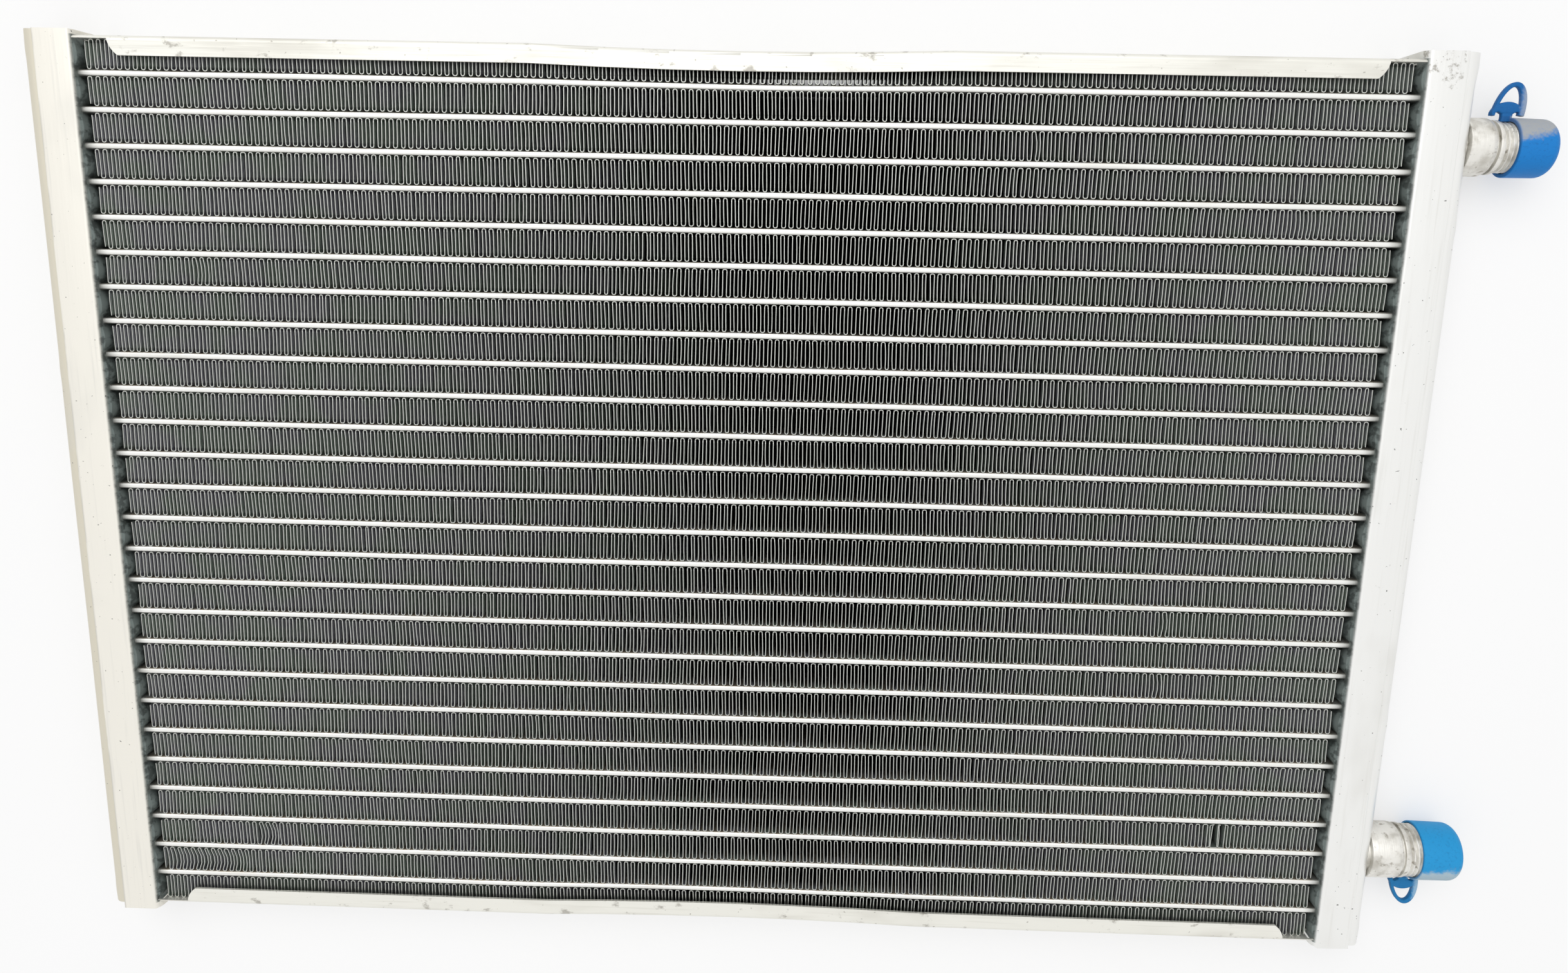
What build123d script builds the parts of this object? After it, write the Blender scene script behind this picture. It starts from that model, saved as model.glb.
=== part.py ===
# Air conditioning condenser of the brazed flat-tube kind, lying on the backs of its two headers.
# Millimetres. X runs along the tubes, Y across them, Z up from the headers' backs to the front.
import os

from build123d import *

os.makedirs("parts", exist_ok=True)

# Core: flat tubes with one corrugated fin strip in each gap and one outside each end tube
tube_count = 26
tube_pitch = 11.4
tube_thickness = 2.0
tube_depth = 16.0
tube_entry = 2.4
tube_edge = 0.6
fin_depth = 15.6
fin_sheet = 0.45
fin_folds = 19
fin_end_gap = 3.0

# Headers: a slotted plate that faces the core, and a tank that closes it
core_width = 430.0
header_depth = 21.2
header_overhang = 2.6
header_corner = 0.9
dome_run_in = 3.0
plate_wall = 1.6
plate_floor = 2.2
plate_reach = 12.5
dome_rise = 2.1
dome_margin = 0.35
dome_crown = 0.45
slot_clearance = 0.1
tank_wall = 1.5
tank_clearance = 0.4
tank_reach = 5.0
tank_corner = 3.6
swell_rise = 0.45
swell_length = 5.6
swell_depth = 9.0
plug_thickness = 2.0
plug_clearance = 0.1
plug_inset = 3.0
baffle_thickness = 1.5
left_baffle_rows = [8]
right_baffle_rows = [3, 18]

# Side plates: channels that close the core at both ends, pressed in a little at mid length
side_sheet = 1.0
side_depth = 20.0
side_flange = 6.2
side_bend = 1.6
flange_setback = 11.4
flange_run_in = 5.5
flange_curve_in = 0.3
flange_curve_down = 0.6
side_tab_depth = 6.0
window_length = 1.9
window_lip = 1.0
dent_depth = 1.3
dent_length = 136.0

# Threaded ports on the right tank: a small one near the top end, a large one near the bottom
spigot_wall = 1.6
small_port_offset = 128.4
small_collar_radius = 9.2
small_collar_length = 7.0
small_thread_radius = 7.94
small_bore_radius = 4.9
large_port_offset = -121.0
large_collar_radius = 10.1
large_collar_length = 9.5
large_thread_radius = 9.52
large_bore_radius = 6.2
collar_taper = 1.6
port_groove_depth = 0.8
port_groove_width = 1.0
port_land = 1.3
port_thread_length = 14.0

# Push-on caps over the threads, each with a pull ring moulded on its mouth
cap_clearance = 0.2
small_cap_wall = 1.25
small_cap_length = 13.6
large_cap_wall = 0.8
large_cap_length = 15.4
cap_corner = 3.4
cap_thread_cover = 9.6
ring_thickness = 2.2
ring_band = 1.5
ring_half_width = 5.2
ring_height = 10.4
ring_crown = 4.1
ring_lift = 0.6
ring_stem_width = 4.0
ring_stem_drop = 1.0

# Sizes that follow from the ones above
core_z = header_depth / 2
fin_height = tube_pitch - tube_thickness
core_half_height = (tube_count - 1) * tube_pitch / 2 + tube_thickness / 2 + fin_height
header_half_length = core_half_height + side_sheet + header_overhang
edge_x = core_width / 2
dome_x = edge_x - dome_rise
floor_x = edge_x + plate_floor
seam_x = edge_x + plate_reach
tank_x = seam_x + tank_reach
tank_start_x = floor_x + tube_entry + tank_clearance
plug_y = core_half_height - plug_inset
fin_half_length = edge_x - fin_end_gap
pick_margin = tank_wall / 100


def tube_y(row):
    """Height of a tube's middle, counted from 0 at the top of the core."""
    return ((tube_count - 1) / 2 - row) * tube_pitch


def baffle_y(row):
    """A baffle sits in the gap under the tube with this number."""
    return tube_y(row) - tube_pitch / 2


def dent(x):
    """How far the side plates are pressed towards the core at a place along them."""
    reach = dent_length / 2
    if abs(x) >= reach:
        return 0.0
    return dent_depth * (1 - (x / reach) ** 2)


def tube(row):
    """One flat tube with broken edges, long enough to end inside both headers."""
    section = Rectangle(tube_thickness, tube_depth)
    section = Plane.YZ * chamfer(section.vertices(), tube_edge)
    length = core_width + 2 * (plate_floor + tube_entry)
    return Pos(0, tube_y(row), core_z) * extrude(section, length / 2, both=True)


def fin(row):
    """One fin strip: a sheet folded to and fro between two neighbours, in a reduced fold count."""
    middle = tube_y(row - 1) - tube_pitch / 2
    half = fin_height / 2
    fold = fin_half_length / fin_folds
    slope = fin_sheet * (1 + (fin_height / fold) ** 2) ** 0.5
    front = []
    back = []
    for corner in range(2 * fin_folds + 1):
        x = -fin_half_length + corner * fold
        top = half
        bottom = -half
        if row == 0:
            top = half - dent(x)
        if row == tube_count:
            bottom = -half + dent(x)
        if corner % 2:
            front.append((x, middle + top))
            back.append((x, middle + top - slope))
        else:
            front.append((x, middle + bottom + slope))
            back.append((x, middle + bottom))
    outline = make_face(Polyline(*front, *reversed(back), close=True))
    return extrude(Pos(0, 0, core_z) * outline, fin_depth / 2, both=True)


def tube_slots():
    """Everything that passes through a header plate, grown by the braze clearance."""
    length = 2 * (plate_floor + tube_entry + dome_rise)
    bar = Box(length, tube_thickness + 2 * slot_clearance, tube_depth + 2 * slot_clearance)
    slots = [Pos(edge_x, tube_y(row), core_z) * bar for row in range(tube_count)]
    tab = Box(length, side_sheet + 2 * slot_clearance, side_tab_depth + 2 * slot_clearance)
    side_y = core_half_height + side_sheet / 2
    slots.append(Pos(edge_x, side_y, core_z) * tab)
    slots.append(Pos(edge_x, -side_y, core_z) * tab)
    return slots


def header_plate():
    """The right header's plate: a trough with domes pressed out between its tube slots."""
    half = [(seam_x, 0), (edge_x + header_corner, 0), (edge_x, header_corner),
            (dome_x, header_corner + dome_run_in)]
    other_half = [(x, header_depth - z) for x, z in reversed(half)]
    trough = make_face(Polyline(*half, *other_half, close=True))
    hollow_length = seam_x - floor_x
    hollow = Pos(floor_x + hollow_length / 2, core_z) * Rectangle(hollow_length, header_depth - 2 * plate_wall)
    trough = Plane.XZ * (trough - hollow)
    body = extrude(trough, header_half_length, both=True)
    return body & domes() - tube_slots()


def domes():
    """The plate seen from the front: a row of crowned swells facing the core, flat at each tube."""
    reach = fin_height / 2 - dome_margin
    crown = reach * dome_crown
    edge = [(edge_x, -header_half_length)]
    for row in reversed(range(tube_count + 1)):
        middle = tube_y(row - 1) - tube_pitch / 2
        edge += [(edge_x, middle - reach), (dome_x, middle - crown)]
        edge += [(dome_x, middle + crown), (edge_x, middle + reach)]
    edge += [(edge_x, header_half_length), (seam_x, header_half_length), (seam_x, -header_half_length)]
    return extrude(make_face(Polyline(*edge, close=True)), header_depth)


def tank(swell_rows):
    """The right header's tank: a trough set into the plate, swollen where a plug or baffle is."""
    width = header_depth - 2 * plate_wall
    length = tank_x - tank_start_x
    outline = Pos(tank_start_x + length / 2, core_z) * Rectangle(length, width)
    outer = [v for v in outline.vertices() if v.X > tank_x - pick_margin]
    outline = fillet(outer, tank_corner)
    hollow_length = length - tank_wall
    hollow = Pos(tank_start_x + hollow_length / 2, core_z) * Rectangle(hollow_length, width - 2 * tank_wall)
    inner = [v for v in hollow.vertices() if v.X > tank_x - tank_wall - pick_margin]
    hollow = fillet(inner, tank_corner - tank_wall)
    body = extrude(Plane.XZ * (outline - hollow), header_half_length, both=True)
    for y in [plug_y, -plug_y] + [baffle_y(row) for row in swell_rows]:
        body += swell(y)
    return body


def swell(y):
    """A shallow round rise on the tank's outer wall."""
    low = (tank_x, y - swell_length / 2)
    high = (tank_x, y + swell_length / 2)
    arc = ThreePointArc(low, (tank_x + swell_rise, y), high)
    seat = Polyline(high, (tank_x - tank_wall / 2, high[1]), (tank_x - tank_wall / 2, low[1]), low)
    return extrude(Pos(0, 0, core_z) * make_face(arc + seat), swell_depth / 2, both=True)


def header_plug(y, thickness):
    """A plate across the inside of the right header, for a closed end or a baffle."""
    start_x = floor_x + plug_clearance
    length = tank_x - tank_wall - plug_clearance - start_x
    width = header_depth - 2 * (plate_wall + tank_wall + plug_clearance)
    outline = Pos(start_x + length / 2, core_z) * Rectangle(length, width)
    outer = [v for v in outline.vertices() if v.X > start_x + length / 2]
    outline = fillet(outer, tank_corner - tank_wall)
    foot_length = tank_start_x - plug_clearance - start_x
    foot_width = header_depth - 2 * (plate_wall + plug_clearance)
    outline += Pos(start_x + foot_length / 2, core_z) * Rectangle(foot_length, foot_width)
    return Pos(0, y, 0) * extrude(Plane.XZ * outline, thickness / 2, both=True)


def dented_edge(y):
    """A line along the side plate at this height, pressed in at mid length."""
    reach = dent_length / 2
    left = Line((-edge_x, y), (-reach, y))
    middle = ThreePointArc((-reach, y), (0, y - dent_depth), (reach, y))
    right = Line((reach, y), (edge_x, y))
    return Curve() + [left, middle, right]


def side_band(top, bottom, depth):
    """The band between two dented lines, as deep as asked, about the core's middle plane."""
    ends = [Line((-edge_x, top), (-edge_x, bottom)), Line((edge_x, top), (edge_x, bottom))]
    outline = make_face(dented_edge(top) + dented_edge(bottom) + ends)
    return extrude(Pos(0, 0, core_z) * outline, depth / 2, both=True)


def flange_relief():
    """What the right end of both flanges lacks: they start at a curve, clear of the header."""
    root_y = core_half_height
    root = (edge_x - flange_setback, root_y)
    tip = (root[0] - flange_run_in, root_y - side_flange)
    mid = (root[0] - flange_run_in * flange_curve_in, root_y - side_flange * flange_curve_down)
    curve = ThreePointArc(root, mid, tip)
    rest = Polyline(tip, (edge_x + side_sheet, tip[1]), (edge_x + side_sheet, root_y), root)
    return extrude(make_face(curve + rest), header_depth)


def side_plate():
    """The top side plate: a channel over the last fin strip, its web tabbed into both headers."""
    outer_y = core_half_height + side_sheet
    channel = side_band(outer_y, outer_y - side_flange, side_depth)
    bends = channel.faces().sort_by(Axis.Y)[-3:].edges()
    bends = [e for e in bends if abs(abs(e.center().Z - core_z) - side_depth / 2) < pick_margin]
    channel = fillet(bends, side_bend)
    low = core_half_height - side_flange
    channel -= side_band(core_half_height, low - side_sheet, side_depth - 2 * side_sheet)
    relief = flange_relief()
    channel -= [relief, mirror(relief, about=Plane.YZ)]
    web_y = outer_y - side_sheet / 2
    window_depth = (side_depth - side_tab_depth) / 2 - window_lip
    window_z = side_tab_depth / 2 + window_depth / 2
    window = Box(window_length, 2 * side_sheet, window_depth)
    tab_length = plate_floor + tube_entry
    tab = Box(tab_length, side_sheet, side_tab_depth)
    for side in (-1, 1):
        window_x = side * (edge_x - window_length / 2)
        channel -= Pos(window_x, web_y, core_z + window_z) * window
        channel -= Pos(window_x, web_y, core_z - window_z) * window
        channel += Pos(side * (edge_x + tab_length / 2), web_y, core_z) * tab
    return channel


def turned(profile, offset):
    """A piece turned about a port's axis. The profile holds distances along X and from the axis."""
    return Pos(0, offset, core_z) * revolve(make_face(Polyline(*profile, close=True)), Axis.X)


def thread_start(collar_length):
    """Where a port's thread begins, past its collar, taper, groove and land."""
    return tank_x + collar_length + collar_taper + port_groove_width + port_land


def port(offset, collar_radius, collar_length, thread_radius, bore_radius):
    """A port with its spigot in the tank wall, a collar, a groove, a land and the thread's body."""
    inside = tank_x - tank_wall
    collar_end = tank_x + collar_length
    taper_end = collar_end + collar_taper
    groove_end = taper_end + port_groove_width
    land_end = groove_end + port_land
    thread_end = land_end + port_thread_length
    spigot = bore_radius + spigot_wall
    land = (collar_radius + thread_radius) / 2
    groove = thread_radius - port_groove_depth
    profile = [
        (inside, bore_radius), (inside, spigot), (tank_x, spigot), (tank_x, collar_radius),
        (collar_end, collar_radius), (taper_end, land), (taper_end, groove), (groove_end, groove),
        (groove_end, land), (land_end, land), (land_end, thread_radius),
        (thread_end - port_groove_depth, thread_radius), (thread_end, thread_radius - port_groove_depth),
        (thread_end, bore_radius),
    ]
    return turned(profile, offset)


def port_hole(offset, bore_radius):
    """The hole in the tank wall that a port's spigot fills."""
    hole = Cylinder(bore_radius + spigot_wall, 3 * tank_wall)
    return Pos(tank_x, offset, core_z) * Rot(0, 90, 0) * hole


def pull_ring(mouth_x, axis_y, outer_radius, wall, side):
    """A flat pull ring on a cap's mouth: a stem, a crown with two flukes, and a loop over it."""
    base = outer_radius + ring_lift
    middle = mouth_x - ring_stem_width / 2 + ring_stem_drop
    upper = Pos(0, ring_height / 2) * Rectangle(4 * ring_half_width, ring_height)
    loop = Ellipse(ring_half_width, ring_height) & upper
    eye = Ellipse(ring_half_width - ring_band, ring_height - ring_band) & upper
    crown = Ellipse(ring_half_width, ring_crown) & upper
    notch = Rectangle(ring_band, ring_band)
    offset = (ring_stem_width + ring_band) / 2
    crown -= [Pos(-offset, 0) * notch, Pos(offset, 0) * notch]
    stem_length = base - outer_radius + wall + ring_band
    stem = Pos(0, ring_band - stem_length / 2) * Rectangle(ring_stem_width, stem_length)
    outline = (loop - eye) + crown + stem
    ring = extrude(Pos(middle, base) * outline, ring_thickness / 2, both=True)
    if side < 0:
        ring = mirror(ring, about=Plane.XZ)
    return Pos(0, axis_y, core_z) * ring


def thread_cap(offset, collar_length, thread_radius, wall, length, side):
    """A soft cap pushed over a port's thread, closed and rounded at its far end."""
    inner = thread_radius + cap_clearance
    outer = inner + wall
    mouth_x = thread_start(collar_length) + port_thread_length - cap_thread_cover
    end_x = mouth_x + length
    round_x = end_x - cap_corner
    round_r = outer - cap_corner
    slant = cap_corner * (1 - 0.5 ** 0.5)
    profile = [
        (mouth_x, inner), (mouth_x, outer), (round_x, outer), (end_x - slant, outer - slant),
        (end_x, round_r), (end_x, 0), (end_x - wall, 0), (end_x - wall, round_r),
        (round_x, inner),
    ]
    cap = turned(profile, offset) + pull_ring(mouth_x, offset, outer, wall, side)
    return cap - Pos(mouth_x, offset, core_z) * Rot(0, 90, 0) * Cylinder(inner, 2 * ring_stem_width)


def export(shape, node):
    """Writes a piece with the origin under the middle of the whole part, caps included."""
    export_step(Pos(-middle_x, 0, 0) * shape, "parts/" + node + ".step")


large_cap_end = thread_start(large_collar_length) + port_thread_length - cap_thread_cover + large_cap_length
middle_x = (large_cap_end - tank_x - swell_rise) / 2


for first in range(0, tube_count, 2):
    export(Compound([tube(first), tube(first + 1)]), f"tubes_{first + 1:02d}_{first + 2:02d}")
for row in range(tube_count + 1):
    export(fin(row), f"fin_{row + 1:02d}")

plate = header_plate()
export(plate, "header_plate_right")
export(mirror(plate, about=Plane.YZ), "header_plate_left")

right_tank = tank(right_baffle_rows)
right_tank -= port_hole(small_port_offset, small_bore_radius)
right_tank -= port_hole(large_port_offset, large_bore_radius)
export(right_tank, "header_tank_right")
export(mirror(tank(left_baffle_rows), about=Plane.YZ), "header_tank_left")

plugs = [header_plug(plug_y, plug_thickness), header_plug(-plug_y, plug_thickness)]
plugs += [mirror(plug, about=Plane.YZ) for plug in plugs]
export(Compound(plugs), "header_end_plugs")
baffles = [header_plug(baffle_y(row), baffle_thickness) for row in right_baffle_rows]
baffles += [mirror(header_plug(baffle_y(row), baffle_thickness), about=Plane.YZ) for row in left_baffle_rows]
export(Compound(baffles), "header_baffles")

top_plate = side_plate()
export(top_plate, "side_plate_top")
export(mirror(top_plate, about=Plane.XZ), "side_plate_bottom")

small_port = port(small_port_offset, small_collar_radius, small_collar_length,
                  small_thread_radius, small_bore_radius)
large_port = port(large_port_offset, large_collar_radius, large_collar_length,
                  large_thread_radius, large_bore_radius)
export(small_port, "outlet_port")
export(large_port, "inlet_port")
small_cap = thread_cap(small_port_offset, small_collar_length, small_thread_radius,
                       small_cap_wall, small_cap_length, 1)
large_cap = thread_cap(large_port_offset, large_collar_length, large_thread_radius,
                       large_cap_wall, large_cap_length, -1)
export(small_cap, "outlet_cap")
export(large_cap, "inlet_cap")
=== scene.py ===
"""Air conditioning condenser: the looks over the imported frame.

Sizes are in millimetres, counted from the core's middle: x along the tubes, y across them, z up from
the headers' backs. They become metres where a mesh is made, and spot gives a material its points in the
same millimetres. The camera, the table and the lamps are placed in metres.
"""
import math

import bpy
import numpy as np
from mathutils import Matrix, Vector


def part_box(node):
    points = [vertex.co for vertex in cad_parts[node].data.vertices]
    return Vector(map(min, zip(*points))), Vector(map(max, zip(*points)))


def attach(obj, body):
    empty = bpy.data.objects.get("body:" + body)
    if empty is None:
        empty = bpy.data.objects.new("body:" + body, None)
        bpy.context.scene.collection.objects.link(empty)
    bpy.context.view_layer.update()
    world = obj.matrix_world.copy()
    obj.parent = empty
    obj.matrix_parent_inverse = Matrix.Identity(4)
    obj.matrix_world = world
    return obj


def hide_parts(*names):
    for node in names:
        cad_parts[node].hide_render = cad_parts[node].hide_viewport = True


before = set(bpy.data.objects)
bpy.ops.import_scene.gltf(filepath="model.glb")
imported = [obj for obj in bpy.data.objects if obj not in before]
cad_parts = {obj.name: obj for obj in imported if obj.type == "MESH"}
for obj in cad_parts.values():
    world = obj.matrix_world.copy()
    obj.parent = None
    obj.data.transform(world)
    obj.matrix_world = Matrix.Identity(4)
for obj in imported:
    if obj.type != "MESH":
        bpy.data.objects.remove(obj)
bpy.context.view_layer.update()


# Camera: held about 0.4 m over the upper half of the core and tipped towards the lower edge, so that
# the upper edge looks wider than the lower one.
camera_place = (0.00893, 0.09433, 0.40719)
camera_turn = (-11.995, 1.534, 1.224)
camera_lens = 26.59
camera_sensor = 36.0

camera = bpy.data.objects.new("camera", bpy.data.cameras.new("camera"))
bpy.context.collection.objects.link(camera)
camera.location = camera_place
camera.rotation_euler = [math.radians(angle) for angle in camera_turn]
camera.data.sensor_fit = "HORIZONTAL"
camera.data.sensor_width = camera_sensor
camera.data.lens = camera_lens
bpy.context.scene.camera = camera
bpy.context.scene.view_settings.view_transform = "Standard"


# Floor and light: a white table under a bright, even ceiling, with one wide lamp and one small lamp.
# The paper on the table glows a little towards the camera, and under the core its colour is painted
# near black as a painted shadow, where hardly any light gets in.
class Wire:
    """A number on its way through a material. Sums, products and so on of wires add Math nodes."""

    def __init__(self, finish, socket):
        self.finish = finish
        self.socket = socket

    def math(self, operation, *values):
        return self.finish.node("Math", {"operation": operation}, dict(enumerate(values)))

    def __add__(self, other):
        return self.math("ADD", self, other)

    def __sub__(self, other):
        return self.math("SUBTRACT", self, other)

    def __rsub__(self, other):
        return self.math("SUBTRACT", other, self)

    def __mul__(self, other):
        return self.math("MULTIPLY", self, other)

    def __truediv__(self, other):
        return self.math("DIVIDE", self, other)

    def __abs__(self):
        return self.math("ABSOLUTE", self)

    __radd__ = __add__
    __rmul__ = __mul__

    def either(self, other):
        """The larger of two wires."""
        return self.math("MAXIMUM", self, other)

    def repeat(self):
        """The part after the whole number, so that a pattern starts again at each one."""
        return self.math("FRACT", self)

    def rise(self, low, high):
        """0 below low and 1 above high, with a smooth climb between; high may be the lower one."""
        settings = {"interpolation_type": "SMOOTHSTEP"}
        return self.finish.node("MapRange", settings, {"Value": self, "From Min": low, "From Max": high})


class Finish:
    """A material's nodes, laid out from nothing."""

    def __init__(self, name, world=False):
        self.owner = (bpy.data.worlds if world else bpy.data.materials).new(name)
        self.owner.use_nodes = True
        self.tree = self.owner.node_tree
        self.tree.nodes.clear()
        self.end = self.tree.nodes.new("ShaderNodeOutputWorld" if world else "ShaderNodeOutputMaterial")

    def node(self, kind, settings, inputs, out=0):
        """Adds a node of a kind, sets it up, feeds its sockets, and gives one of its outputs."""
        made = self.tree.nodes.new("ShaderNode" + kind)
        for name, value in settings.items():
            setattr(made, name, value)
        for key, value in inputs.items():
            if isinstance(value, Wire):
                self.tree.links.new(value.socket, made.inputs[key])
            else:
                made.inputs[key].default_value = value
        return Wire(self, made.outputs[out])

    def place(self):
        """Where a point is on the object, in metres."""
        return self.node("TexCoord", {}, {}, out="Object")

    def along(self, vector):
        """A vector's three numbers."""
        parts = self.node("SeparateXYZ", {}, {0: vector})
        return [Wire(self, socket) for socket in parts.socket.node.outputs]

    def looked_at(self):
        """1 for rays that look at this, straight or by way of metal or glass, and 0 for all others."""
        kinds = ("Is Camera Ray", "Is Glossy Ray", "Is Transmission Ray")
        straight, shiny, clear = (self.node("LightPath", {}, {}, out=kind) for kind in kinds)
        return straight.either(shiny).either(clear)

    def clouds(self, size, stretch=(1, 1, 1), detail=3.0, roughness=0.55, shift=0.0):
        """Cloudy noise about 0.5 whose patches are so many millimetres wide."""
        scale = [1000 / size / s for s in stretch]
        inputs = {"Vector": self.place(), "Location": [shift] * 3, "Scale": scale}
        vector = self.node("Mapping", {}, inputs)
        return self.node("TexNoise", {}, {"Vector": vector, "Scale": 1.0, "Detail": detail,
                                          "Roughness": roughness})

    def mix(self, first, second, amount):
        """One colour turning into another."""
        def four(colour):
            return colour if isinstance(colour, Wire) else (*colour, 1.0)
        inputs = {0: amount, 6: four(first), 7: four(second)}
        return self.node("Mix", {"data_type": "RGBA"}, inputs, out=2)

    def bumps(self, height, depth):
        """A surface raised by height times so many millimetres."""
        return self.node("Bump", {}, {"Strength": 1.0, "Distance": depth / 1000, "Height": height})

    def surface(self, **inputs):
        """Ends the material in one surface shader and gives the material."""
        inputs = {key.replace("_", " "): value for key, value in inputs.items()}
        return self.finished(self.node("BsdfPrincipled", {}, inputs))

    def finished(self, shader):
        """Ends the nodes in a shader that is already there and gives the material or the world."""
        self.tree.links.new(shader.socket, self.end.inputs[0])
        return self.owner


plain_white = (1.0, 1.0, 1.0, 1.0)
ceiling_strength = 0.92
horizon_strength = 0.25
ceiling_start = -0.1
ceiling_full = 0.8
paper_colour = (0.90, 0.90, 0.90)
paper_roughness = 0.8
paper_glow = 0.50
shade_colour = (0.015, 0.015, 0.015)
shade_half = (0.226, 0.150)
shade_fade = 0.010
floor_reach = 4.0

# Lamps: (name, place, width in metres, power in watts)
lamps = [
    ("wide_lamp", (-0.50, 1.60, 2.20), 2.2, 22.0),
    ("near_lamp", (0.05, 0.30, 1.30), 0.30, 0.5),
]

sky = Finish("ceiling", world=True)
upwards = sky.along(sky.node("TexCoord", {}, {}, out="Generated"))[2]
seen = sky.looked_at()
climb = upwards.rise(ceiling_start, ceiling_full)
strength = horizon_strength + (ceiling_strength - horizon_strength) * climb
strength = strength * (1 - seen) + seen
bpy.context.scene.world = sky.finished(
    sky.node("Background", {}, {"Color": plain_white, "Strength": strength}))

paper = Finish("white_table")
x, y = paper.along(paper.place())[:2]
# Painted shadow: the paper's colour turns near black under the core.
under = (abs(x).rise(shade_half[0], shade_half[0] - shade_fade)
         * abs(y).rise(shade_half[1], shade_half[1] - shade_fade))
paper_tone = paper.mix(paper_colour, shade_colour, under)
paper_shade = paper.node("BsdfPrincipled", {}, {"Base Color": paper_tone, "Roughness": paper_roughness})
glow = paper.node("Emission", {}, {"Color": plain_white, "Strength": 1.0})
glow_share = paper.looked_at() * (1 - under) * paper_glow
paper.finished(paper.node("MixShader", {}, {0: glow_share, 1: paper_shade, 2: glow}))

floor_mesh = bpy.data.meshes.new("table")
corners = [(-floor_reach, -floor_reach, 0), (floor_reach, -floor_reach, 0),
           (floor_reach, floor_reach, 0), (-floor_reach, floor_reach, 0)]
floor_mesh.from_pydata(corners, [], [(0, 1, 2, 3)])
floor_mesh.materials.append(paper.owner)
table = bpy.data.objects.new("table", floor_mesh)
bpy.context.collection.objects.link(table)

for name, place, width, power in lamps:
    lamp = bpy.data.objects.new(name, bpy.data.lights.new(name, "AREA"))
    lamp.data.shape = "DISK"
    lamp.data.size = width
    lamp.data.energy = power
    lamp.location = place
    aim = np.array(place)
    lamp.rotation_euler = (0, math.acos(aim[2] / np.linalg.norm(aim)), math.atan2(aim[1], aim[0]))
    bpy.context.collection.objects.link(lamp)


# Tubes: 26 flat aluminium extrusions, brazed into both headers. Their front edges are the bright lines
# across the core; flux has left brown on their upper sides. Their lower sides are painted duller and
# their roots dark grey, as painted shade.
tube_count = 26
tube_pitch = 11.4
tube_thickness = 2.0
tube_depth = 16.0
tube_half_length = 219.6
tube_rounding = 0.375
tube_arc_points = 6
tube_stations = 80
tube_seed = 100
tube_wander = 0.10
wander_fade = 40.0
wander_lengths = (45, 130)
core_z = 10.6
core_half_height = 152.9
dent_depth = 1.3
dent_reach = 68.0
dent_fade = 34.0

# The middle of the core in the frame, along x: midway between the plates' outer ends
core_x = 500 * (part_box("header_plate_left")[0].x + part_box("header_plate_right")[1].x)


def skin(name, shells, finish, nodes, sharp=38):
    """Makes one piece from closed shells. A shell is a grid of points: each row is a closed loop, and
    the rows follow each other along the shape. They meet in a ring where the flag says so, and
    otherwise the first and last loop get one face each. The volume's sign turns the faces outwards."""
    points, faces, start = [], [], 0
    for grid, ring in shells:
        rows, columns = grid.shape[:2]
        flat = (grid.reshape(-1, 3) + (core_x, 0, 0)) / 1000
        row = np.arange(rows if ring else rows - 1)[:, None]
        column = np.arange(columns)[None, :]
        after = (column + 1) % columns
        above = (row + 1) % rows
        quads = np.stack(np.broadcast_arrays(row * columns + column, row * columns + after,
                                             above * columns + after, above * columns + column), -1)
        quads = quads.reshape(-1, 4)
        a, b, c, d = (flat[quads[:, i]] - flat.mean(0) for i in range(4))
        volume = (a * (np.cross(b, c) + np.cross(c, d))).sum()
        lids = [] if ring else [np.arange(columns)[::-1], np.arange(columns) + (rows - 1) * columns]
        if volume < 0:
            quads = quads[:, ::-1]
            lids = [lid[::-1] for lid in lids]
        points.append(flat)
        faces += (quads + start).tolist() + [(lid + start).tolist() for lid in lids]
        start += len(flat)
    mesh = bpy.data.meshes.new(name)
    mesh.from_pydata(np.concatenate(points).tolist(), [], faces)
    mesh.polygons.foreach_set("use_smooth", np.ones(len(faces), bool))
    mesh.set_sharp_from_angle(angle=math.radians(sharp))
    mesh.materials.append(finish)
    mesh.update()
    piece = bpy.data.objects.new(name, mesh)
    bpy.context.collection.objects.link(piece)
    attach(piece, "root")
    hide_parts(*nodes)


def spot(finish):
    """Where a point is, as three wires in the same millimetres as the sizes."""
    x, y, z = finish.along(finish.place())
    return x * 1000 - core_x, y * 1000, z * 1000


def rounded(corners, steps):
    """A closed outline through corners (across, up, radius): each corner is an arc of so many points
    that leaves its two sides at radius / tan(half the corner's angle) and bulges towards the corner."""
    corners = np.array(corners, float)
    outline = []
    for i, (x, y, radius) in enumerate(corners):
        here = np.array((x, y))
        back = corners[i - 1][:2] - here
        ahead = corners[(i + 1) % len(corners)][:2] - here
        back, ahead = back / np.linalg.norm(back), ahead / np.linalg.norm(ahead)
        half = math.acos(np.clip(back @ ahead, -1, 1)) / 2
        middle = here + (back + ahead) / np.linalg.norm(back + ahead) * radius / math.sin(half)
        first = here + back * radius / math.tan(half) - middle
        last = here + ahead * radius / math.tan(half) - middle
        share = np.linspace(0, 1, steps)[:, None]
        turn = math.pi - 2 * half
        arc = (first * np.sin((1 - share) * turn) + last * np.sin(share * turn)) / math.sin(turn)
        outline.append(middle + arc)
    return np.concatenate(outline)


def bar(width, depth, rounding, steps):
    """A bar's outline, its corners rounded by a share of its narrower side."""
    side, front, radius = width / 2, depth / 2, rounding * min(width, depth)
    return rounded([(side, front, radius), (-side, front, radius),
                    (-side, -front, radius), (side, -front, radius)], steps)


def dent(x):
    """How far both long edges are pressed in at mid length: a parabola, nothing past its reach."""
    return dent_depth * np.clip(1 - (x / dent_reach) ** 2, 0, None)


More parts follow.
